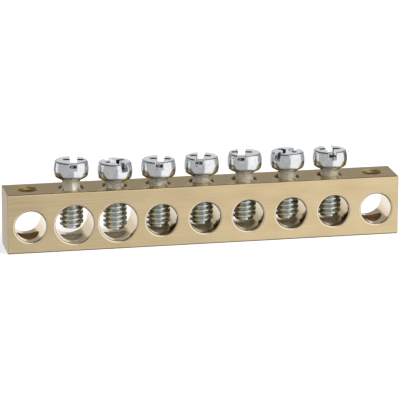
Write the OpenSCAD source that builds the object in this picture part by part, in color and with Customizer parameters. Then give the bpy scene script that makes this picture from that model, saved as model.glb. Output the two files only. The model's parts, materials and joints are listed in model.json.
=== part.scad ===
// Earth terminal bar.
// A drawn brass bar is drilled from front to back for wires. A clamping screw stands over each wire
// hole in a tapped hole, and comes down on the wire. The two end positions have no screw.
// Millimetres. X runs along the bar, the wire holes open on the front (-Y) and the back (+Y), and
// the screws stand up (+Z). The origin is the middle of the bar's underside.

/* [Bar] */
// Depth of the bar, from its front face to its back face
bar_depth = 7; // [6.5:0.1:10]
// Height of the bar
bar_height = 10; // [9.5:0.1:12]
// Distance from each position to the next along the bar
pitch = 7.3; // [7:0.1:10]
// Distance from the middle of an end hole to the sawn end of the bar
end_margin = 3.8; // [3.2:0.1:8]
// Radius of the drawn edges that run along the bar
edge_radius = 0.25; // [0.1:0.05:0.5]

/* [Wire holes] */
// Height of the middle of every wire hole above the underside
hole_height = 4.5; // [4.2:0.1:5]
// Diameter of the large wire holes
large_hole = 6.4; // [5.6:0.1:6.6]
// Diameter of the small wire holes
small_hole = 5.2; // [4.6:0.1:5.8]
// Diameter of the fixing hole at each end
end_hole = 5.2; // [4:0.1:5.8]
// Width of the broken edge round the mouth of each wire hole
rim_chamfer = 0.18; // [0.05:0.01:0.25]

/* [Tapped holes] */
// Diameter of the drill that goes before the tap
tap_drill = 3.3; // [2.8:0.1:3.5]
// Height above the underside at which the full width of that drill stops
drill_stop = 1.4; // [1.2:0.1:1.8]
// Included angle of the drill's point
drill_point = 118; // [110:1:140]
// Width of the broken edge round the mouth of each tapped hole
tap_chamfer = 0.15; // [0.05:0.01:0.25]
// Gap between a screw's thread and the wall of its hole, all round
thread_clearance = 0.05; // [0.02:0.01:0.1]

/* [Screw shank] */
// Diameter over the thread
thread_across = 4; // [3.6:0.1:4.4]
// Depth of the thread
thread_depth = 0.5; // [0.3:0.05:0.55]
// Distance from each turn of the thread to the next
thread_pitch = 0.8; // [0.75:0.05:1]
// Width of the flat on the crest of each turn, and in the root between turns
thread_flat = 0.12; // [0.08:0.01:0.16]
// Length of the shank under the head
shank_length = 8; // [7.5:0.1:8.4]
// Length of the plain point below the thread
point_length = 0.2; // [0.1:0.05:0.4]
// Least length of plain neck between the thread and the head
neck_length = 1.3; // [0.3:0.05:1.4]

/* [Screw head] */
// Diameter of the head where its side swells most
head_across = 5.9; // [5.2:0.1:6.4]
// Height of the head from its neck to the edge of its top
head_height = 3.35; // [2.8:0.05:4]
// Height of the sloping seat under the head
seat_height = 0.7; // [0.4:0.05:1]
// How far the head's side swells beyond its top and bottom edges
head_swell = 0.18; // [0.05:0.01:0.3]
// Radius of the rounded edge at the top of the head
head_round = 0.3; // [0.1:0.05:0.5]
// How far the middle of the top stands above its edge
head_crown = 0.08; // [0:0.01:0.2]
// Width of the slot across the head
slot_width = 1.2; // [0.8:0.1:1.4]
// Depth of the slot below the edge of the top
slot_depth = 1.25; // [0.8:0.05:1.5]
// Width of the arms of the cross recess
cross_width = 0.9; // [0.6:0.05:1.2]
// Distance from tip to tip of the cross recess at the top
cross_across = 3.4; // [2.6:0.1:4]
// Depth of the cross recess at its middle
cross_depth = 2.1; // [1.6:0.1:2.4]

/* [Hidden] */
$fn = 96;
LARGE = 2;      // large wire holes, next to the left end
SMALL = 5;      // small wire holes, up to the right end
SCREWS = LARGE + SMALL;

// How far each screw's neck stands above the bar, from left to right
screw_lift = [1.3, 0.7, 0.75, 0.9, 1.15, 1.05, 1];
// How far each screw's slot is turned from front to back, in degrees
slot_turn = [-10, 26, -15, -17, -14, -50, -3];
// How far each screw's recess was struck to the right of its axis
recess_shift = [0.4, 0, 0.35, -0.2, -0.5, 0, 0];

over = 1;       // how far a cutter reaches past the face it cuts
bar_length = (SCREWS + 1) * pitch + 2 * end_margin;
thread_r = thread_across / 2;
root_r = thread_r - thread_depth;
tap_r = tap_drill / 2;
screw_hole_r = thread_r + thread_clearance;
flank = thread_pitch / 2 - thread_flat;
turns = floor((shank_length - point_length - neck_length) / thread_pitch);
head_r = head_across / 2;
head_edge_r = head_r - head_swell;
rim_start = head_height - head_round;

SIDE_STEPS = 8;     // steps along the swelling side of the head
ROUND_STEPS = 4;    // steps round the edge of its top

function screw_name(i) = str("terminal_screw_", i);

// The middle of position i along the bar: 0 is the left end hole and SCREWS + 1 the right one.
function position_x(i) = (i - (SCREWS + 1) / 2) * pitch;

function is_end(i) = i == 0 || i == SCREWS + 1;

function hole_r(i) = (is_end(i) ? end_hole : i <= LARGE ? large_hole : small_hole) / 2;

// One cross-section of the bar: a rectangle with rounded corners, standing on the X axis.
module bar_section() {
    translate([-bar_depth / 2, edge_radius])
        square([bar_depth, bar_height - 2 * edge_radius]);
    translate([edge_radius - bar_depth / 2, 0])
        square([bar_depth - 2 * edge_radius, bar_height]);
    for (y = [edge_radius - bar_depth / 2, bar_depth / 2 - edge_radius])
        for (z = [edge_radius, bar_height - edge_radius])
            translate([y, z]) circle(edge_radius);
}

// The widening at a hole's mouth: a cone that leaves a broken edge of this width at z = 0.
module mouth(r, chamfer) {
    translate([0, 0, -chamfer])
        cylinder(h = chamfer + over, r1 = r, r2 = r + chamfer + over);
}

// A hole through the bar from front to back, with a broken edge at both mouths.
module wire_hole(r) {
    translate([0, 0, hole_height]) rotate([90, 0, 0]) {
        cylinder(h = bar_depth + 2 * over, r = r, center = true);
        for (side = [0, 180])
            rotate([0, side, 0]) translate([0, 0, bar_depth / 2]) mouth(r, rim_chamfer);
    }
}

// The drill's path: down through the wire hole and into its floor, ending in the drill's point.
module tap_drilling() {
    point = tap_r / tan(drill_point / 2);
    translate([0, 0, drill_stop]) cylinder(h = bar_height, r = tap_r);
    translate([0, 0, drill_stop - point]) cylinder(h = point, r1 = 0, r2 = tap_r);
}

// The hole from the top: at the tap drill's size at the ends, and wide enough for the thread elsewhere.
module top_hole(i) {
    r = is_end(i) ? tap_r : screw_hole_r;
    tap_drilling();
    translate([0, 0, hole_height]) cylinder(h = bar_height, r = r);
    translate([0, 0, bar_height]) mouth(r, tap_chamfer);
}

module bar() {
    color([0.8, 0.69, 0.49])
        difference() {
            translate([-bar_length / 2, 0, 0])
                rotate([90, 0, 90]) linear_extrude(bar_length) bar_section();
            for (i = [0:SCREWS + 1])
                translate([position_x(i), 0, 0]) {
                    wire_hole(hole_r(i));
                    top_hole(i);
                }
        }
}

// Half the outline of one turn of the thread, from its lower root to the start of the next turn.
function turn_outline(z) = [
    [root_r, z],
    [thread_r, z + flank],
    [thread_r, z + flank + thread_flat],
    [root_r, z + 2 * flank + thread_flat]
];

// Half the outline of the shank, from the middle of its point up to the neck at z = 0.
function shank_outline() = concat(
    [[0, -shank_length], [root_r, -shank_length]],
    [for (i = [0:turns - 1])
        each turn_outline(point_length - shank_length + i * thread_pitch)],
    [[root_r, 0]]
);

// Half the outline of the head above the neck: a sloping seat, a side that swells as a parabola,
// a rounded edge and a slightly crowned top.
function head_outline() = concat(
    [for (i = [0:SIDE_STEPS])
        let (t = i / SIDE_STEPS)
        [head_r - head_swell * pow(2 * t - 1, 2), seat_height + t * (rim_start - seat_height)]],
    [for (i = [1:ROUND_STEPS])
        let (a = 90 * i / ROUND_STEPS)
        [head_edge_r - head_round * (1 - cos(a)), rim_start + head_round * sin(a)]],
    [[0, head_height + head_crown]]
);

// The driver's recess, cut down from the top: a slot right across, and a cross that narrows downwards.
module driver_recess() {
    above = head_crown + over;
    cone_r = cross_width / 2;
    spread = (cross_across / 2 - cone_r) / cross_depth;
    translate([-slot_width / 2, -head_across, head_height - slot_depth])
        cube([slot_width, 2 * head_across, slot_depth + above]);
    translate([0, 0, head_height - cross_depth])
        intersection() {
            cylinder(h = cross_depth + above, r1 = cone_r,
                     r2 = cone_r + spread * (cross_depth + above));
            for (arm = [0, 90])
                rotate([0, 0, arm])
                    translate([-cone_r, -head_across, 0])
                        cube([cross_width, 2 * head_across, cross_depth + above]);
        }
}

module terminal_screw(i) {
    color([0.74, 0.77, 0.79])
        translate([position_x(i), 0, bar_height + screw_lift[i - 1]])
            rotate([0, 0, slot_turn[i - 1]])
                difference() {
                    rotate_extrude() polygon(concat(shank_outline(), head_outline()));
                    translate([recess_shift[i - 1], 0, 0]) driver_recess();
                }
}

bar();
for (i = [1:SCREWS])
    terminal_screw(i);
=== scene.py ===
"""The looks of an earth terminal bar: a drawn and drilled brass bar with seven zinc plated clamping screws.

Every new piece is a set of surfaces worked out with numpy in millimetres. Each surface is a function of two
parameters on a grid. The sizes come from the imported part, and what it doesn't say is named below.
"""
import json
import math

import bmesh
import bpy
import numpy as np
from mathutils import Matrix, Vector


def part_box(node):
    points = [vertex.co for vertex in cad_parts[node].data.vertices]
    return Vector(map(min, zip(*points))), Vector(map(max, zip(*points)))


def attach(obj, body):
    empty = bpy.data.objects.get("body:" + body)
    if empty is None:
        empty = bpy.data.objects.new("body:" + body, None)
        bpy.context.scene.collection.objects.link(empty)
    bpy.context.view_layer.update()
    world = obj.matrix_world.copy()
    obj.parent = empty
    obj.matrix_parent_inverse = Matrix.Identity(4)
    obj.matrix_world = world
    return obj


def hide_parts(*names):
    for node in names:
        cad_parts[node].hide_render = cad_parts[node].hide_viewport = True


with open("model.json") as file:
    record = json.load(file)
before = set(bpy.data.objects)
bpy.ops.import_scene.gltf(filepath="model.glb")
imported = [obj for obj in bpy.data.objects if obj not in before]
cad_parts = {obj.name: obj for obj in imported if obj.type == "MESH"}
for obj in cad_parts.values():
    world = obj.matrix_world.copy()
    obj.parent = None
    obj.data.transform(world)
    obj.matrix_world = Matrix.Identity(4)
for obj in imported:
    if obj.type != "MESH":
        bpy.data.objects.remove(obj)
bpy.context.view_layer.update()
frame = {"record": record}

MM = 0.001          # millimetres to metres
WELD = 1e-4         # points closer than this become one, in millimetres

# The bar, in millimetres
EDGE_RADIUS = 0.25      # of the drawn edges that run along the bar
SAWN_EDGE = 0.06        # broken edge round each sawn end
RIM_ROUND = 0.26        # rounded edge at the mouth of each wire hole
TAP_CHAMFER = 0.15      # broken edge round the mouth of each upright hole
SCREW_HOLE_R = 2.05     # hole that a screw's thread turns in
DRILL_STOP = 1.4        # height at which the full width of the tap drill stops
DRILL_POINT = 118       # included angle of its point, in degrees
DRILL_SLOPE = math.tan(math.radians(DRILL_POINT / 2))   # radius of the point for each millimetre of height
DIMPLE_R = 1.85         # drill mark in the floor of a wire hole, where the drill wandered a little
TAP_PITCH = 0.7         # thread of the empty tapped holes
TAP_DEPTH = 0.3

# The screws, in millimetres. Heights count from the top of the neck, where the head begins
THREAD_R = 2.0
ROOT_R = 1.5
THREAD_PITCH = 0.8
SHANK_LENGTH = 8.0
POINT_LENGTH = 0.2      # plain stretch below the thread
POINT_EDGE = 0.08       # broken edge of the point
NECK_SINK = 0.1         # how far the plain neck goes on below the top of the bar
NECK_BEND = [(0.15, 0.083), (0.03, -0.03), (0, -0.12)]  # hollow under the seat: width past the neck, height
HEAD_EDGE_R = 2.77      # radius at the top and bottom of the head's side
HEAD_SWELL = 0.18       # how far the side swells beyond that
SEAT_HEIGHT = 0.7
SEAT_ROUND = 0.22       # the rounded edge of the seat reaches this far up the side,
SEAT_SHARE = 0.82       # and starts at this share of the way up the seat's cone
HEAD_HEIGHT = 3.35
HEAD_ROUND = 0.3        # rounded edge of the top
HEAD_CROWN = 0.08
SLOT_HALF = 0.6
SLOT_DEPTH = 1.25
SLOT_ROUND = 0.11       # rounded edges along the slot
SLOT_FADE = 0.2         # height over the slot's floor in which they grow to that
CROSS_HALF = 0.45
CROSS_REACH = 1.7       # from the middle to a tip of the cross recess, at the top
CROSS_DEPTH = 2.1
SLOT_TURN = [-10, 26, -15, -17, -14, -50, -3]   # degrees from front to back, for each screw from the left
RECESS_SHIFT = [0.4, 0, 0.35, -0.2, -0.5, 0, 0] # how far each recess was struck to the right of the axis

HEAD_TOP_R = HEAD_EDGE_R - HEAD_ROUND
SIDE_TOP = HEAD_HEIGHT - HEAD_ROUND
SLOT_FLOOR = HEAD_HEIGHT - SLOT_DEPTH

# Every thread
THREAD_PHASE = np.array([0.14, 0.5, 0.86])      # lines across one turn: end of the crest, root, next crest
THREAD_FORM = np.array([1.0, 0.0, 1.0])         # height of the profile at each
THREAD_FADE = 0.35      # stretch in which a thread grows out of its root at either end, in millimetres

# Steps of the grids
X_STEPS, Y_STEPS, Z_STEPS = 32, 16, 40      # along one position of the bar, through it and up it
CUT_STEPS = X_STEPS + Y_STEPS               # over half of an upright hole
SIDE_STEPS = X_STEPS + Z_STEPS - CUT_STEPS  # down the side of a wire hole
ROUND_STEPS = 6                             # round an edge of the bar
WALL_STEPS = 5                              # along the wall of a hole
DIMPLE_STEPS = 8                            # down a drill mark
HEAD_STEPS, HEAD_ROUND_STEPS = 14, 7        # up the side of a head and round the edge of its top
SEAT_STEPS = 5                              # round the edge of its seat
TOP_STEPS = 7                               # from beside the cross to the edge of the top
HEAD_LINES = 22                             # lines round half a head beyond its slot
FIRST_LINE = 0.33                           # angle of the first of them, in radians
STRAIGHT_HALF = 0.8                         # lines this near the head's middle run straight, in millimetres
EVEN_HALF = 1.35                            # rows keep their distances where the top reaches this far
BAR_CREASE, SCREW_CREASE = 32, 40           # an edge stays crisp where its faces turn by more, in degrees

# Angles of the rounded edges and of the upright holes, in radians
QUARTER_TURN = np.linspace(0, np.pi / 2, ROUND_STEPS + 1)
HALF_TURN = np.linspace(-np.pi / 2, np.pi / 2, CUT_STEPS + 1)
WHOLE_TURN = np.concatenate([HALF_TURN[:-1], HALF_TURN + np.pi])
FACE_SHARES = [0, 0.06, 0.5, 0.93, 1]       # lines across a flat face, close together at its edges
MIRROR = np.array([1, -1, 1])               # from the front of the bar to its back

mounts = {m["name"]: m for m in frame["record"]["mounts"]}
bar_low, bar_high = (np.array(corner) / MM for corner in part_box("bar"))
LENGTH, DEPTH, HEIGHT = bar_high - bar_low
FRONT, BACK = bar_low[1], bar_high[1]
SCREWS = len(SLOT_TURN)
LARGE_HOLES = 2         # next to the left end
HOLE_Z = mounts["end_hole_left"]["pos_m"][2] / MM
TAP_R = mounts["tapped_hole_left"]["dims"]["r_mm"]

# Numbers of the materials, on the bar and on a screw
DRAWN, TOP_SHADE, SAWN, BRIGHT, DRILLED, SCREW_SHADE, RIM_HIGHLIGHT, TAPPED, DIMPLED = range(9)
SIDE, SHANK, TOP, SLOT, CROSS, NECK = range(6)


# ---------------------------------------------------------------- meshes

def surface(*coordinates):
    """A grid of points, or one line of them, from three arrays that broadcast to (rows, columns)."""
    return np.stack(np.broadcast_arrays(*coordinates), axis=-1).astype(float)


def steps_between(first, last, shares):
    """The lines that lie these shares of the way from the first line of points to the last."""
    shares = np.asarray(shares, float)[:, None, None]
    return first[None] + (last - first)[None] * shares


def both_sides(*patches):
    """Each patch, followed by the same one on the other side of the bar: y becomes -y."""
    return [(grid * side, number) for grid, number in patches for side in (1, MIRROR)]


def closed(ring):
    """A ring of points with its first point repeated at its end."""
    return np.concatenate([ring, ring[:1]])


def build(name, patches, materials, crease):
    """One closed mesh from grids of points in millimetres, each with the number of its material, or one for
    every quad. Neighbouring points make quads, points that meet are welded, and faces turn outwards."""
    points, quads, numbers, start = [], [], [], 0
    for grid, number in patches:
        rows, columns = grid.shape[:2]
        index = start + np.arange(rows * columns).reshape(rows, columns)
        quad = np.stack([index[:-1, :-1], index[:-1, 1:], index[1:, 1:], index[1:, :-1]], axis=-1)
        quads.append(quad.reshape(-1, 4))
        numbers.append(np.broadcast_to(number, quad.shape[:2]).reshape(-1))
        points.append(grid.reshape(-1, 3))
        start += rows * columns
    mesh = bpy.data.meshes.new(name)
    mesh.from_pydata(np.concatenate(points), [], np.concatenate(quads))
    mesh.polygons.foreach_set("material_index", np.concatenate(numbers).astype(np.int32))
    work = bmesh.new()
    work.from_mesh(mesh)
    bmesh.ops.remove_doubles(work, verts=work.verts, dist=WELD)
    bmesh.ops.dissolve_degenerate(work, edges=work.edges, dist=WELD)
    bmesh.ops.recalc_face_normals(work, faces=work.faces)
    work.to_mesh(mesh)
    work.free()
    mesh.transform(Matrix.Scale(MM, 4))
    for material in materials:
        mesh.materials.append(material)
    mesh.shade_smooth()
    mesh.set_sharp_from_angle(angle=math.radians(crease))
    piece = bpy.data.objects.new(name, mesh)
    bpy.context.collection.objects.link(piece)
    return piece


def ramp(value, width):
    """A smooth rise from 0 to 1 as the value goes from 0 to the width."""
    t = np.clip(value / width, 0, 1)
    return t * t * (3 - 2 * t)


def bent(first, corner, last, t):
    """A parabola from the first value to the last as t goes from 0 to 1, drawn towards the corner's."""
    return first * (1 - t) ** 2 + 2 * t * (1 - t) * corner + last * t ** 2


def quarter_round(radius):
    """How far the points of a quarter circle lie from the face that it leaves and from the one it joins."""
    return radius * (1 - np.cos(QUARTER_TURN)), radius * (1 - np.sin(QUARTER_TURN))


def thread(angle, low, high, pitch, root, depth):
    """The wall of a thread, as radius and height: its lines climb as a helix, one pitch for each turn of
    the angle, and each keeps its place in the thread's profile, a sharp groove with straight flanks between
    flat crests. Lines that would leave the stretch from low to high run along its end, where the thread
    fades into its root."""
    low, high = np.broadcast_to(low, angle.shape), np.broadcast_to(high, angle.shape)
    turns = math.ceil((high.max() - low.min()) / pitch) + 1
    line = (np.arange(-1, turns)[:, None] + THREAD_PHASE).reshape(-1, 1)
    form = np.tile(THREAD_FORM, turns + 1)[:, None]
    z = np.clip(low.min() + pitch * (line + angle[None] / (2 * np.pi)), low, high)
    radius = root + depth * form * ramp(z - low, THREAD_FADE) * ramp(high - z, THREAD_FADE)
    return radius, z


# ---------------------------------------------------------------- bar

def drill_r(z):
    """Radius of the tap drill's path at a height: its full radius, and below its stop a cone."""
    return np.clip(DIMPLE_R - (DRILL_STOP - z) * DRILL_SLOPE, 0, DIMPLE_R)


def wire_hole_ring(r, top_r):
    """The section of a wire hole as a ring of points (x, z) round its axis, clockwise seen from the front,
    with half the width of the upright hole's cut through its wall at each point. The ring starts where
    that cut starts, on the left of the crown."""
    turn = HALF_TURN[:-1]
    crown_x = top_r * np.sin(turn)
    crown_z = np.sqrt(r ** 2 - crown_x ** 2)
    floor_x = -DIMPLE_R * np.sin(turn)
    floor_z = -np.sqrt(r ** 2 - floor_x ** 2)
    top_angle = math.acos(top_r / r)
    low_angle = -math.acos(DIMPLE_R / r)
    right = np.linspace(top_angle, low_angle, SIDE_STEPS, endpoint=False)
    left = np.linspace(np.pi - low_angle, np.pi - top_angle, SIDE_STEPS, endpoint=False)
    x = np.concatenate([crown_x, r * np.cos(right), floor_x, r * np.cos(left)])
    z = np.concatenate([crown_z, r * np.sin(right), floor_z, r * np.sin(left)])
    floor_cut = np.sqrt(np.clip(drill_r(HOLE_Z + floor_z) ** 2 - floor_x ** 2, 0, None))
    uncut = np.zeros(SIDE_STEPS)
    cut = np.concatenate([top_r * np.cos(turn), uncut, floor_cut, uncut])
    return closed(x), closed(z), closed(cut)


def rectangle_ring(a0, a1, b0, b1, a_steps, b_steps):
    """Points round a rectangle, from its corner (a0, b1) to (a1, b1) and on, each side with its own number
    of steps. They are turned back by half of Y_STEPS, to start beside the start of the hole's ring."""
    a = np.linspace(a0, a1, a_steps, endpoint=False)
    b = np.linspace(b1, b0, b_steps, endpoint=False)
    ring_a = np.concatenate([a, np.full(b_steps, a1), a1 + a0 - a, np.full(b_steps, a0)])
    ring_b = np.concatenate([np.full(a_steps, b1), b, np.full(a_steps, b0), b1 + b0 - b])
    return closed(np.roll(ring_a, Y_STEPS // 2)), closed(np.roll(ring_b, Y_STEPS // 2))


def wire_hole(x0, x1, hole_x, r, top_r, wall_material):
    """The front face of one position, the mouth of its wire hole and the hole's wall, and the same at the
    back."""
    ring_x, ring_z, cut = wire_hole_ring(r, top_r)

    # Face: each point goes straight from the hole's mouth to the edge of the rectangle
    edge_x, edge_z = rectangle_ring(x0, x1, EDGE_RADIUS, HEIGHT - EDGE_RADIUS, X_STEPS, Z_STEPS)
    wide = (r + RIM_ROUND) / r
    mouth = surface(hole_x + ring_x * wide, FRONT, HOLE_Z + ring_z * wide)
    face = steps_between(mouth, surface(edge_x, FRONT, edge_z), FACE_SHARES)

    # Mouth: a quarter round from the face into the hole, in a brass painted lighter than the face: a
    # painted highlight
    from_face, from_wall = (v[:, None] for v in quarter_round(RIM_ROUND))
    out = 1 + from_wall / r
    rim = surface(hole_x + ring_x * out, FRONT + from_face, HOLE_Z + ring_z * out)

    # Wall: straight in from the mouth to the middle of the bar, or to the upright hole's cut
    inner = surface(hole_x + ring_x, -cut, HOLE_Z + ring_z)
    wall = steps_between(rim[-1], inner, np.linspace(0, 1, WALL_STEPS + 1))
    return both_sides((face, DRAWN), (rim, RIM_HIGHLIGHT), (wall, wall_material))


def round_upright(x, radius, z):
    """A whole turn of a radius and a height round an upright axis at x, from the left over the front."""
    return surface(x + radius * np.sin(WHOLE_TURN), -radius * np.cos(WHOLE_TURN), z)


def upright_hole(hole_x, r, top_r, tapped):
    """The wall of an upright hole, from its cut through the crown of the wire hole up to the broken edge of
    its mouth, and that edge, a cone. Where no screw stands in it, the wall is a thread."""
    low = HOLE_Z + np.sqrt(r ** 2 - (top_r * np.sin(WHOLE_TURN)) ** 2)
    high = HEIGHT - TAP_CHAMFER
    if tapped:
        radius, z = thread(WHOLE_TURN + np.pi / 2, low, high, TAP_PITCH, top_r, TAP_DEPTH)
    else:
        radius, z = top_r, low + (high - low) * np.linspace(0, 1, WALL_STEPS + 1)[:, None]
    bevel = np.linspace(0, TAP_CHAMFER, 3)[:, None]
    # The wall and its edge take the tapped brass, whose dark colour is painted shade
    return [(round_upright(hole_x, radius, z), TAPPED),
            (round_upright(hole_x, top_r + bevel, high + bevel), TAPPED)]


def top_face(x0, x1, hole_x, top_r):
    """The top face of one position: each point goes straight from the upright hole's mouth to the edge of
    the rectangle."""
    mouth = round_upright(hole_x, top_r + TAP_CHAMFER, HEIGHT)
    edge_x, edge_y = rectangle_ring(x0, x1, BACK - EDGE_RADIUS, FRONT + EDGE_RADIUS, X_STEPS, Y_STEPS)
    # The top face's brass is painted much darker than the front's: painted shade
    return [(steps_between(mouth, surface(edge_x, edge_y, HEIGHT), FACE_SHARES), TOP_SHADE)]


def drill_mark(hole_x, r, material):
    """The drill's mark in the floor of a wire hole: from the floor down to the drill's stop, and then down
    its cone, where each point moves in as the cone's radius shrinks."""
    floor_x = -DIMPLE_R * np.sin(HALF_TURN)
    floor_z = HOLE_Z - np.sqrt(r ** 2 - floor_x ** 2)
    start_r = drill_r(floor_z)
    front_y = -np.sqrt(np.clip(start_r ** 2 - floor_x ** 2, 0, None))
    stop_z = np.minimum(floor_z, DRILL_STOP)
    tip_z = DRILL_STOP - DIMPLE_R / DRILL_SLOPE
    cone_z = tip_z + (stop_z - tip_z) * np.linspace(1, 0, DIMPLE_STEPS + 1)[:, None]
    z = np.concatenate([floor_z[None], cone_z])
    shrink = drill_r(z) / start_r
    return both_sides((surface(hole_x + floor_x * shrink, front_y * shrink, z), material))


def underside_and_edges(x0, x1):
    """The flat underside of one position, and the quarter round of each of its four long edges."""
    x = np.linspace(x0, x1, X_STEPS + 1)
    y = np.linspace(FRONT + EDGE_RADIUS, BACK - EDGE_RADIUS, Y_STEPS + 1)[:, None]
    in_y, in_z = (v[:, None] for v in quarter_round(EDGE_RADIUS))
    low_edge = surface(x, FRONT + in_y, in_z)
    high_edge = surface(x, FRONT + in_y, HEIGHT - in_z)
    return [(surface(x, y, 0), DRAWN)] + both_sides((low_edge, DRAWN), (high_edge, DRAWN))


def position(x0, x1, hole_x, r, tapped, wall_material):
    """The patches of one position of the bar, from x0 to x1, with or without a screw over its wire hole."""
    top_r = TAP_R if tapped else SCREW_HOLE_R
    patches = wire_hole(x0, x1, hole_x, r, top_r, wall_material)
    patches += upright_hole(hole_x, r, top_r, tapped)
    patches += top_face(x0, x1, hole_x, top_r)
    # Drill marks in two painted tones: the dark tapped brass in the open end holes as painted shade, a
    # lighter brass under the screws as painted light
    patches += drill_mark(hole_x, r, TAPPED if tapped else DIMPLED)
    return patches + underside_and_edges(x0, x1)


def section_ring():
    """Points (y, z) round the bar's own section: its four sides, and a quarter circle at each corner."""
    side_z = np.linspace(EDGE_RADIUS, HEIGHT - EDGE_RADIUS, Z_STEPS + 1)
    side_y = np.linspace(FRONT + EDGE_RADIUS, BACK - EDGE_RADIUS, Y_STEPS + 1)
    in_y, in_z = quarter_round(EDGE_RADIUS)
    y = [np.full_like(side_z, FRONT), FRONT + in_y, side_y, BACK - in_y[::-1],
         np.full_like(side_z, BACK), BACK - in_y, side_y[::-1], FRONT + in_y[::-1]]
    z = [side_z, HEIGHT - in_z, np.full_like(side_y, HEIGHT), HEIGHT - in_z[::-1],
         side_z[::-1], in_z, np.zeros_like(side_y), in_z[::-1]]
    return np.concatenate(y), np.concatenate(z)


def sawn_end(side):
    """One end of the bar: its section, drawn in a little over the broken edge and then down to a point."""
    y, z = section_ring()
    share = np.array([1, 1 - 2 * SAWN_EDGE / DEPTH, 0.8, 0.4, 0])[:, None]
    x = side * (LENGTH / 2 - np.array([SAWN_EDGE, 0, 0, 0, 0])[:, None])
    return surface(x, y * share, HEIGHT / 2 + (z - HEIGHT / 2) * share)


def make_bar(materials):
    """The bar: its two sawn ends and its positions, which meet halfway between their holes."""
    holes = [mounts["end_hole_left"]]
    holes += [mounts[f"wire_entry_{i}"] for i in range(1, SCREWS + 1)]
    holes.append(mounts["end_hole_right"])
    hole_x = np.array([hole["pos_m"][0] for hole in holes]) / MM
    end_x = LENGTH / 2 - SAWN_EDGE
    border = np.concatenate([[-end_x], (hole_x[1:] + hole_x[:-1]) / 2, [end_x]])
    patches = [(sawn_end(-1), SAWN), (sawn_end(1), SAWN)]
    for i, hole in enumerate(holes):
        tapped = i in (0, SCREWS + 1)
        # The walls of the wire holes are painted in three tones of one drilled brass: lightest in the open
        # end holes, darker in the large holes under screws, darkest in the small ones. The two darker tones
        # are painted shade of the screws.
        wall = BRIGHT if tapped else DRILLED if i <= LARGE_HOLES else SCREW_SHADE
        patches += position(border[i], border[i + 1], hole_x[i], hole["dims"]["r_mm"], tapped, wall)
    return build("brass_bar", patches, materials, BAR_CREASE)


# ---------------------------------------------------------------- screws

def quads_with(marked):
    """Which quads of a grid have a marked corner."""
    return marked[:-1, :-1] | marked[:-1, 1:] | marked[1:, 1:] | marked[1:, :-1]


def head_columns():
    """Where the lines that run from the front of the head over its top to the back cross the slot's width:
    close together at the walls of the slot and of the cross, and evenly round the head beyond them."""
    half = np.concatenate([
        np.linspace(0, CROSS_HALF - 0.03, 4),                   # to just inside the cross's wall
        [CROSS_HALF],
        np.linspace(CROSS_HALF + 0.05, SLOT_HALF - 0.02, 3),    # to just inside the slot's wall
        SLOT_HALF + np.array([0, 0.025, 0.06, SLOT_ROUND]),     # over the slot's rounded edge
        HEAD_TOP_R * np.sin(np.linspace(FIRST_LINE, np.pi / 2, HEAD_LINES)),
    ])
    return np.concatenate([-half[:0:-1], half])


def side_r(z):
    """Radius of the head's side at a height: a parabola that swells halfway up."""
    t = (z - SEAT_HEIGHT) / (SIDE_TOP - SEAT_HEIGHT)
    return HEAD_EDGE_R + HEAD_SWELL * (1 - (2 * t - 1) ** 2)


def head_profile():
    """The head's outline from the bottom of its side to the edge of its top, a parabola and then a quarter
    circle: the radius, the height, and the normal's share along each."""
    z = np.linspace(SEAT_HEIGHT + SEAT_ROUND, SIDE_TOP, HEAD_STEPS + 1)
    t = (z - SEAT_HEIGHT) / (SIDE_TOP - SEAT_HEIGHT)
    slope = -4 * HEAD_SWELL * (2 * t - 1) / (SIDE_TOP - SEAT_HEIGHT)
    turn = np.linspace(0, np.pi / 2, HEAD_ROUND_STEPS + 1)[1:]
    radius = np.concatenate([side_r(z), HEAD_TOP_R + HEAD_ROUND * np.cos(turn)])
    height = np.concatenate([z, SIDE_TOP + HEAD_ROUND * np.sin(turn)])
    normal_r = np.concatenate([1 / np.hypot(1, slope), np.cos(turn)])
    normal_z = np.concatenate([-slope / np.hypot(1, slope), np.sin(turn)])
    return radius, height, normal_r, normal_z


def slot_rounding(column, height):
    """How far the head is drawn in beside the slot: a quarter round that starts at the slot's wall, and
    dies away towards the height of the slot's floor."""
    from_wall = np.abs(column) - SLOT_HALF
    to_end = np.clip(SLOT_ROUND - from_wall, 0, None)
    drop = SLOT_ROUND - np.sqrt(np.clip(SLOT_ROUND ** 2 - to_end ** 2, 0, None))
    return np.where(from_wall >= 0, drop, 0) * ramp(height - SLOT_FLOOR, SLOT_FADE)


def top_rows(edge_y):
    """Where the rows across the top meet each line, from front to back. They keep fixed distances near the
    cross, and go on evenly from there to the edge, which is this far from the middle. Where it is near, the
    fixed distances shrink with it."""
    at_wall = CROSS_HALF + np.array([-0.25, -0.03, 0, 0.03, 0.08])      # close together at the cross's wall
    fixed = np.concatenate([[0], at_wall, [0.7, 0.85, 1.0, 1.2]])
    near = fixed[:, None] * np.clip(edge_y / EVEN_HALF, 0, 1)[None]
    far = near[-1] + (edge_y - near[-1]) * np.linspace(0, 1, TOP_STEPS + 1)[1:, None]
    half = np.concatenate([near, far])
    return np.concatenate([-half[-2::-1], half[1:-1]])


def recess_floor(x, y):
    """Height of the driver's recess: the slot's flat floor, and a cross whose floor is a cone that rises
    from its middle. Outside the recess it is infinitely high."""
    far = np.hypot(x, y)
    cone = HEAD_HEIGHT - CROSS_DEPTH * (1 - np.clip(far - CROSS_HALF, 0, None) / (CROSS_REACH - CROSS_HALF))
    near_zero = 1e-6
    in_cross = (np.abs(x) < CROSS_HALF - near_zero) | (np.abs(y) < CROSS_HALF - near_zero)
    floor = np.where(in_cross, cone, np.inf)
    return np.where(np.abs(x) < SLOT_HALF - near_zero, np.minimum(floor, SLOT_FLOOR), floor)


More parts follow.
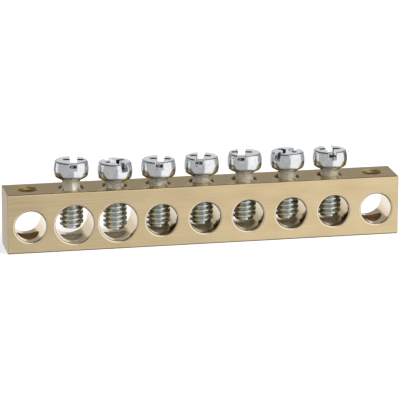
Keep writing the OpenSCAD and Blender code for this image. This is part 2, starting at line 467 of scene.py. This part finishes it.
def head_grid(shift):
    """The head's side and top as lines that run from front to back over the head. The plain head, a profile
    turned round the axis, is drawn in a little along the slot's edges and then lowered to the recess, which
    lies this far to the right of the axis. Each quad gets the number of its material."""
    radius, height, normal_r, normal_z = (v[:, None] for v in head_profile())
    column = head_columns()[None]
    drop = slot_rounding(column, height)
    spread = ramp(np.abs(column) - STRAIGHT_HALF, HEAD_TOP_R - STRAIGHT_HALF)
    r = radius - drop * normal_r
    z = height - drop * normal_z
    x = (column + shift) * (1 - spread) + r * column / HEAD_TOP_R * spread
    x = np.where(spread >= 1, np.sign(column) * r, x)
    y = -np.sqrt(np.clip(r ** 2 - x ** 2, 0, None))

    top_y = top_rows(-y[-1])
    top_x = np.broadcast_to(x[-1], top_y.shape)
    crown = np.clip(1 - (top_x ** 2 + top_y ** 2) / HEAD_TOP_R ** 2, 0, 1)
    top_z = z[-1] + HEAD_CROWN * crown

    full_x = np.concatenate([x, top_x, x[::-1]])
    full_y = np.concatenate([y, top_y, -y[::-1]])
    plain_z = np.concatenate([z, top_z, z[::-1]])
    full_z = np.minimum(plain_z, recess_floor(full_x - shift, full_y))

    # A point is in the recess where it lies this far below the plain head, and in the cross of the recess
    # where it lies this far below the slot's floor, or beside the slot
    least_depth = 0.02
    in_recess = quads_with(plain_z - full_z > least_depth)
    in_cross = quads_with((full_z < SLOT_FLOOR - least_depth) & (plain_z > SLOT_FLOOR))
    in_cross |= in_recess & ~quads_with(np.abs(full_x - shift) < SLOT_HALF - least_depth / 2)
    row = np.arange(len(full_z) - 1)[:, None]
    on_top = (row >= len(z) - 1) & (row < len(z) + len(top_z))
    # The cross of the recess takes the near-black zinc that is painted shade
    numbers = np.select([in_cross, in_recess, on_top], [CROSS, SLOT, TOP], SIDE)
    return surface(full_x, full_y, full_z), numbers


def lower_grid(ring, neck_length):
    """Everything below the head's side, as a profile turned round the axis through the side's own lowest
    ring: the seat's rounded edge, a parabola, then the seat's cone, the neck, the threaded shank and its
    point. Each quad gets the number of its material."""
    angle = np.unwrap(np.arctan2(ring[:, 1], ring[:, 0]))
    side_z = SEAT_HEIGHT + SEAT_ROUND
    cone_r = ROOT_R + (HEAD_EDGE_R - ROOT_R) * SEAT_SHARE
    cone_z = SEAT_HEIGHT * SEAT_SHARE
    t = np.linspace(0, 1, SEAT_STEPS + 1)
    edge_r = bent(side_r(side_z), HEAD_EDGE_R, cone_r, t)
    edge_z = bent(side_z, SEAT_HEIGHT, cone_z, t)
    neck = [(ROOT_R + out, z) for out, z in NECK_BEND] + [(ROOT_R, -neck_length)]
    above = np.concatenate([np.stack([edge_r, edge_z], axis=1), neck])
    tip_z = -SHANK_LENGTH
    thread_end = tip_z + POINT_LENGTH
    radius, z = thread(angle, thread_end, -neck_length, THREAD_PITCH, ROOT_R, THREAD_R - ROOT_R)
    below = np.array([(ROOT_R, thread_end), (ROOT_R, tip_z + POINT_EDGE), (ROOT_R - POINT_EDGE, tip_z),
                      (ROOT_R / 2, tip_z), (0, tip_z)])
    ones = np.ones_like(angle)
    radius = np.concatenate([above[:, :1] * ones, radius[::-1], below[:, :1] * ones])
    z = np.concatenate([above[:, 1:] * ones, z[::-1], below[:, 1:] * ones])
    row = np.arange(len(z) - 1)[:, None]
    numbers = np.select([row < len(edge_z), row < len(above)], [SIDE, NECK], SHANK)
    return surface(radius * np.cos(angle), radius * np.sin(angle), z), numbers


def make_screw(i, materials):
    """Clamping screw i, turned as it was left and lifted to its node's place."""
    node = f"terminal_screw_{i}"
    low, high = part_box(node)
    neck_z = high.z / MM - HEAD_HEIGHT - HEAD_CROWN
    head, head_materials = head_grid(RECESS_SHIFT[i - 1])
    ring = closed(np.concatenate([head[0], head[-1][::-1]]))
    patches = [(head, head_materials), lower_grid(ring, neck_z - HEIGHT + NECK_SINK)]
    turn = math.radians(SLOT_TURN[i - 1])
    c, s = math.cos(turn), math.sin(turn)
    turned = np.array([[c, s, 0], [-s, c, 0], [0, 0, 1]])
    place = np.array([(low.x + high.x) / 2 / MM, 0, neck_z])
    placed = [(grid @ turned + place, number) for grid, number in patches]
    piece = build(f"clamping_screw_{i}", placed, materials, SCREW_CREASE)
    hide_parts(node)
    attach(piece, f"screw_{i}")


# ---------------------------------------------------------------- materials

def feed(tree, socket, value):
    """Gives a socket a number, a colour or another node's output."""
    if isinstance(value, bpy.types.NodeSocket):
        tree.links.new(value, socket)
    else:
        socket.default_value = value


def shader_node(tree, kind, **values):
    """Adds a node. A value is for the setting or the socket of that name, where an underscore stands for a
    blank in a socket's name."""
    made = tree.nodes.new(kind)
    for name, value in values.items():
        socket = made.inputs.get(name.replace("_", " "))
        if socket is None:
            setattr(made, name, value)
        else:
            feed(tree, socket, value)
    return made


def calculate(tree, operation, *values):
    """The result of an operation on numbers and other nodes' outputs."""
    made = shader_node(tree, "ShaderNodeMath", operation=operation)
    for socket, value in zip(made.inputs, values):
        feed(tree, socket, value)
    return made.outputs["Value"]


def new_material(name):
    """An empty material, and its tree of nodes."""
    material = bpy.data.materials.new(name)
    material.use_nodes = True
    tree = material.node_tree
    tree.nodes.clear()
    return material, tree


def noise(tree, scale, stretch=(1, 1, 1), detail=3.0, roughness=0.5):
    """Noise on the piece's own coordinates: scale is in features for each millimetre, times the stretch
    along each axis."""
    coordinates = shader_node(tree, "ShaderNodeTexCoord").outputs["Object"]
    size = [factor / MM for factor in stretch]
    mapping = shader_node(tree, "ShaderNodeMapping", Vector=coordinates, Scale=size)
    return shader_node(tree, "ShaderNodeTexNoise", Vector=mapping.outputs["Vector"], Scale=scale,
                       Detail=detail, Roughness=roughness).outputs["Fac"]


def blend_colour(tree, share, low, high, start=0.3, end=0.7):
    """A colour between two, as the share goes from start to end."""
    made = shader_node(tree, "ShaderNodeValToRGB", Fac=share)
    for stop, at, colour in zip(made.color_ramp.elements, (start, end), (low, high)):
        stop.position, stop.color = at, (*colour, 1)
    return made.outputs["Color"]


def mix_colours(tree, share, low, high):
    """A colour between two by a share from 0 to 1."""
    made = shader_node(tree, "ShaderNodeMix", data_type="RGBA")
    share_socket, low_socket, high_socket, result_socket = 0, 6, 7, 2
    feed(tree, made.inputs[share_socket], share)
    feed(tree, made.inputs[low_socket], low)
    feed(tree, made.inputs[high_socket], high)
    return made.outputs[result_socket]


def between(tree, share, low, high, start=0.3, end=0.7):
    """A number between two, as the share goes from start to end."""
    return shader_node(tree, "ShaderNodeMapRange", Value=share, From_Min=start, From_Max=end, To_Min=low,
                       To_Max=high).outputs["Result"]


def metal(tree, colour, roughness, height, depth, metallic=1.0):
    """Adds the metal's shader and its output, with the height's bump this deep in millimetres. Below 1,
    metallic leaves a share of the light to scatter evenly, as a dull film does."""
    bump = shader_node(tree, "ShaderNodeBump", Height=height, Distance=depth * MM, Strength=1.0)
    shader = shader_node(tree, "ShaderNodeBsdfPrincipled", Base_Color=colour, Roughness=roughness,
                         Metallic=metallic, Normal=bump.outputs["Normal"])
    shader_node(tree, "ShaderNodeOutputMaterial", Surface=shader.outputs["BSDF"])


def drawn_brass(name, dark, light):
    """Brass as it leaves the die: fine lines along the bar, over slow changes of tone."""
    material, tree = new_material(name)
    lines = noise(tree, scale=1.0, stretch=(0.06, 7, 7), detail=4, roughness=0.6)
    tone = noise(tree, scale=0.35, stretch=(0.5, 1, 1), detail=2)
    line_share, tone_share = 0.6, 0.5
    slow = calculate(tree, "MULTIPLY", tone, tone_share)
    mixed = calculate(tree, "MULTIPLY_ADD", lines, line_share, slow)
    colour = blend_colour(tree, mixed, dark, light, start=0.35, end=0.75)
    metal(tree, colour, between(tree, lines, low=0.18, high=0.28), lines, depth=0.005)
    return material


def drilled_brass(name, floor_colour, dark, light):
    """Brass cut by a drill: smoother, with another tone on the lower part of the hole, which changes evenly
    between two heights."""
    material, tree = new_material(name)
    marks = noise(tree, scale=1.0, stretch=(3, 9, 3), detail=3)
    colour = blend_colour(tree, marks, dark, light)
    place = shader_node(tree, "ShaderNodeTexCoord").outputs["Object"]
    height = shader_node(tree, "ShaderNodeSeparateXYZ", Vector=place).outputs["Z"]
    floor_top, wall_start = (HOLE_Z - 1.3) * MM, (HOLE_Z - 0.5) * MM
    share = between(tree, height, low=0, high=1, start=floor_top, end=wall_start)
    colour = mix_colours(tree, share, (*floor_colour, 1), colour)
    metal(tree, colour, between(tree, marks, low=0.06, high=0.14), marks, depth=0.002)
    return material


def rim_highlight_brass():
    """The rounded mouths of the wire holes, painted lighter than the face: a painted highlight."""
    material, tree = new_material("rim_highlight_brass")
    marks = noise(tree, scale=1.0, stretch=(4, 4, 4), detail=3)
    colour = blend_colour(tree, marks, low=(0.88, 0.74, 0.50), high=(0.96, 0.85, 0.62))
    metal(tree, colour, between(tree, marks, low=0.10, high=0.2), marks, depth=0.002)
    return material


def tapped_brass(name, dark, light, metallic):
    """Brass that tap and drill have left rough, as in the upright holes and the drill marks: duller. Its
    dark colours are painted shade, its light ones painted light.
    """
    material, tree = new_material(name)
    marks = noise(tree, scale=1.0, stretch=(3, 3, 9), detail=3)
    colour = blend_colour(tree, marks, dark, light)
    metal(tree, colour, between(tree, marks, low=0.28, high=0.42), marks, depth=0.004, metallic=metallic)
    return material


def sawn_brass():
    """The sawn ends: greyer, with fine upright saw marks."""
    material, tree = new_material("sawn_brass")
    marks = noise(tree, scale=1.0, stretch=(6, 6, 0.25), detail=4, roughness=0.6)
    colour = blend_colour(tree, marks, low=(0.56, 0.46, 0.32), high=(0.72, 0.61, 0.46))
    metal(tree, colour, between(tree, marks, low=0.36, high=0.52), marks, depth=0.01)
    return material


def zinc(name, dark, light, smooth, rough, depth=0.02, metallic=1.0):
    """Bright zinc plating: small uneven patches and soft dents from the barrel."""
    material, tree = new_material(name)
    patches = noise(tree, scale=1.6, detail=4, roughness=0.6)
    dents = noise(tree, scale=0.9, detail=2)
    colour = blend_colour(tree, patches, dark, light)
    metal(tree, colour, between(tree, patches, smooth, rough), dents, depth, metallic)
    return material


def bar_materials():
    """The bar's materials, in the order of their numbers."""
    return [
        drawn_brass("drawn_brass", dark=(0.70, 0.545, 0.31), light=(0.86, 0.685, 0.42)),
        # painted shade: the top face, the same drawn brass as the front, painted much darker
        drawn_brass("top_shade_brass", dark=(0.42, 0.30, 0.10), light=(0.53, 0.375, 0.13)),
        sawn_brass(),
        drilled_brass("bright_brass", floor_colour=(0.74, 0.60, 0.42),
                      dark=(0.80, 0.69, 0.54), light=(0.92, 0.81, 0.66)),
        drilled_brass("drilled_brass", floor_colour=(0.60, 0.46, 0.27),
                      dark=(0.62, 0.49, 0.31), light=(0.78, 0.64, 0.45)),
        # painted shade: the walls and floor of the small wire holes, darkened for the shade of the screws
        # in them
        drilled_brass("screw_shade_brass", floor_colour=(0.32, 0.23, 0.10),
                      dark=(0.46, 0.34, 0.16), light=(0.62, 0.48, 0.27)),
        rim_highlight_brass(),
        # painted shade: the dark brass inside the upright holes and in the drill marks of the open end
        # holes
        tapped_brass("tapped_brass", dark=(0.52, 0.38, 0.17), light=(0.68, 0.52, 0.27), metallic=0.7),
        # painted light: the lighter brass of the drill marks under the screws
        tapped_brass("lit_dimple_brass", dark=(0.66, 0.57, 0.40), light=(0.82, 0.73, 0.55), metallic=0.45),
    ]


def screw_materials():
    """A screw's materials, in the order of their numbers."""
    return [
        zinc("head_zinc", dark=(0.74, 0.76, 0.78), light=(0.94, 0.95, 0.96), smooth=0.08, rough=0.22),
        zinc("thread_zinc", dark=(0.66, 0.69, 0.65), light=(0.80, 0.83, 0.79), smooth=0.12, rough=0.22,
             depth=0.006, metallic=0.85),
        zinc("top_zinc", dark=(0.74, 0.76, 0.78), light=(0.96, 0.97, 0.98), smooth=0.3, rough=0.5,
             metallic=0.45),
        zinc("slot_zinc", dark=(0.86, 0.87, 0.87), light=(0.94, 0.95, 0.95), smooth=0.12, rough=0.25),
        # painted shade: the cross recess, painted near black
        zinc("cross_shade_zinc", dark=(0.20, 0.21, 0.25), light=(0.34, 0.35, 0.40), smooth=0.2, rough=0.35),
        # painted reflection: the neck's cream colour with even scattering stands for the white screen that
        # it mirrors
        zinc("neck_highlight_zinc", dark=(0.84, 0.82, 0.74), light=(0.96, 0.94, 0.86), smooth=0.12, rough=0.2,
             depth=0.006, metallic=0.5),
    ]


# ---------------------------------------------------------------- studio

# The lamps: name, place and size in metres, power in watts
LAMPS = [("key", (0.45, -0.35, 0.45), 0.3, 3.0),
         ("fill", (-0.5, -0.2, 0.5), 0.4, 1.2)]
LAMP_TARGET = (0, 0, 0.007)
FLOOR_HALF = 3      # half the side of the floor, in metres
FLOOR_PAINT = 0.8   # brightness of its paint
FLOOR_GLOW = 0.42   # share of the floor's white that is its own
ROOM_LIGHT = 0.55   # brightness of the plain light that the room gives

# The room that metal mirrors, in five zones one over another. The three in the middle are lists of angles,
# in degrees from +X towards +Y, with the brightness there. Between two angles it changes evenly.
SHADE = 0.16        # first zone, the shaded ground below
LOW_ROOM = [(-180, 0.48), (-91, 0.48), (-88, 0.40), (-84, 0.46), (-81, 0.66), (-78, 0.92), (-74, 1.0),
            (4, 1.0), (8, 0.15), (58, 0.15), (62, 1.0), (120, 1.0), (124, 0.15), (141, 0.15), (145, 0.9),
            (166, 0.9), (170, 0.48), (180, 0.48)]
HIGH_ROOM = [(-180, 0.48), (-91, 0.48), (-87, 0.8), (-70, 1.0), (4, 1.0), (8, 0.40), (166, 0.40),
             (180, 0.48)]
UPPER_ROOM = [(-180, 0.05), (-94, 0.05), (-84, 1.0), (4, 1.0), (15, 0.10), (180, 0.05)]
CEILING = 0.2       # last zone
ROOM_STEPS = (-0.62, 0.2, 0.5, 0.93)    # sine of the angle above the horizon where one zone meets the next
ROOM_BLEND = 0.03                       # half the width of that change


def grey(level):
    """A colour without a hue."""
    return (level, level, level, 1)


def softbox(name, place, size, watts):
    """A square area lamp, aimed at the object. Metal mirrors the room instead of it."""
    lamp = bpy.data.lights.new(name, "AREA")
    lamp.shape, lamp.size, lamp.energy = "SQUARE", size, watts
    made = bpy.data.objects.new(name, lamp)
    made.location = place
    made.rotation_euler = (Vector(LAMP_TARGET) - made.location).to_track_quat("-Z", "Y").to_euler()
    made.visible_glossy = False
    bpy.context.collection.objects.link(made)


def seen_directly(tree):
    """1 for what the camera sees, by itself or in metal and glass, and 0 for light on other surfaces."""
    rays = shader_node(tree, "ShaderNodeLightPath").outputs
    either = calculate(tree, "MAXIMUM", rays["Is Camera Ray"], rays["Is Glossy Ray"])
    return calculate(tree, "MAXIMUM", either, rays["Is Transmission Ray"])


def make_floor():
    """A plain pale floor. A share of the white that is seen is its own, so that the object's shadow on it
    stays soft. Metal mirrors the room instead of it."""
    material, tree = new_material("pale_floor")
    paint = shader_node(tree, "ShaderNodeBsdfDiffuse", Color=grey(FLOOR_PAINT))
    strength = calculate(tree, "MULTIPLY", seen_directly(tree), FLOOR_GLOW)
    glow = shader_node(tree, "ShaderNodeEmission", Color=grey(1), Strength=strength)
    total = shader_node(tree, "ShaderNodeAddShader")
    tree.links.new(paint.outputs[0], total.inputs[0])
    tree.links.new(glow.outputs[0], total.inputs[1])
    shader_node(tree, "ShaderNodeOutputMaterial", Surface=total.outputs[0])
    mesh = bpy.data.meshes.new("floor")
    low, high = -FLOOR_HALF, FLOOR_HALF
    mesh.from_pydata([(low, low, 0), (high, low, 0), (high, high, 0), (low, high, 0)], [], [(0, 1, 2, 3)])
    mesh.materials.append(material)
    sheet = bpy.data.objects.new("floor", mesh)
    sheet.visible_glossy = False
    bpy.context.collection.objects.link(sheet)


def room_colour(tree, around, levels):
    """The brightness of one zone of the room, as the share of a turn goes from 0 at -180 degrees to 1."""
    made = shader_node(tree, "ShaderNodeValToRGB", Fac=around)
    stops = made.color_ramp.elements
    stops[0].position, stops[1].position = 0, 1
    stops[0].color, stops[1].color = grey(levels[0][1]), grey(levels[-1][1])
    for angle, level in levels[1:-1]:
        stops.new(angle / 360 + 0.5).color = grey(level)
    return made.outputs["Color"]


def make_world():
    """The room that the metal mirrors: a white screen to the right of the camera, white paper behind the
    bar between two dark stretches, grey walls on the left and behind the camera, and less light overhead
    and straight below. All other light from it is plain and even."""
    world = bpy.data.worlds.new("studio")
    world.use_nodes = True
    tree = world.node_tree
    tree.nodes.clear()
    direction = shader_node(tree, "ShaderNodeTexCoord").outputs["Generated"]
    turn = shader_node(tree, "ShaderNodeTexGradient", gradient_type="RADIAL", Vector=direction)
    height = shader_node(tree, "ShaderNodeSeparateXYZ", Vector=direction).outputs["Z"]
    zones = [room_colour(tree, turn.outputs["Fac"], levels) for levels in (LOW_ROOM, HIGH_ROOM, UPPER_ROOM)]
    room = grey(SHADE)
    for step, zone in zip(ROOM_STEPS, zones + [grey(CEILING)]):
        share = between(tree, height, low=0, high=1, start=step - ROOM_BLEND, end=step + ROOM_BLEND)
        room = mix_colours(tree, share, room, zone)
    colour = mix_colours(tree, seen_directly(tree), grey(ROOM_LIGHT), room)
    background = shader_node(tree, "ShaderNodeBackground", Color=colour, Strength=1.0)
    shader_node(tree, "ShaderNodeOutputWorld", Surface=background.outputs[0])
    bpy.context.scene.world = world


def make_camera():
    """The camera: how far it is turned and raised, and how far it stands from the point it looks at."""
    turn, rise, roll = math.radians(-11.76), math.radians(15.70), math.radians(0.25)
    distance, target = 0.47614, Vector((-0.000219, 0, 0.006634))
    camera = bpy.data.cameras.new("camera")
    camera.lens, camera.sensor_width = 257.4, 36
    camera.clip_start, camera.clip_end = 0.01, 20
    made = bpy.data.objects.new("camera", camera)
    back = Vector((math.sin(turn) * math.cos(rise), -math.cos(turn) * math.cos(rise), math.sin(rise)))
    made.location = target + back * distance
    made.rotation_mode = "QUATERNION"
    look = (-back).to_track_quat("-Z", "Y")
    made.rotation_quaternion = look @ Matrix.Rotation(roll, 4, "Z").to_quaternion()
    bpy.context.collection.objects.link(made)
    bpy.context.scene.camera = made


def make_studio():
    """The room, the floor, the lamps and the camera."""
    make_world()
    make_floor()
    for lamp in LAMPS:
        softbox(*lamp)
    make_camera()
    bpy.context.scene.view_settings.view_transform = "Standard"


# ---------------------------------------------------------------- the whole

make_studio()

bar = make_bar(bar_materials())
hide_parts("bar")
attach(bar, "bar")

plating = screw_materials()
for i in range(1, SCREWS + 1):
    make_screw(i, plating)
